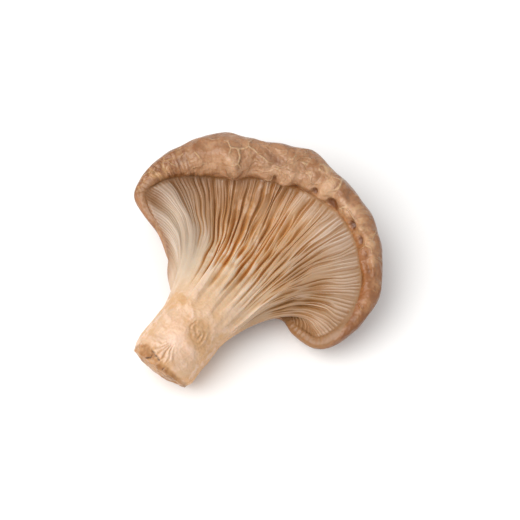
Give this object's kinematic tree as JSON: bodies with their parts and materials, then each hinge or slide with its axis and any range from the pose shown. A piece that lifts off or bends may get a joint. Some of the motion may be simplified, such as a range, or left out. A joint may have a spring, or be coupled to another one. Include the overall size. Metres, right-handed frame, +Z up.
{
  "type": "oyster mushroom",
  "caption": "Single oyster mushroom lying gills up: a short cut stem opens sideways into a fan-shaped cap with fine gills and a rolled, lumpy edge.",
  "frame": {"origin": "middle of the box in plan, on the surface that the mushroom lies on", "axes": "+X from the cut end of the stem towards the far rim of the cap, +Y to the left of that, +Z up out of the gills"},
  "size_m": [0.092, 0.0884, 0.0286],
  "materials": {
    "flesh": "soft, slightly moist mushroom flesh: cream gills and stem, rosy tan-brown skin on the rolled edge and the back of the cap"
  },
  "bodies": {
    "root": {"oyster_mushroom": "flesh"}
  },
  "joints": []
}
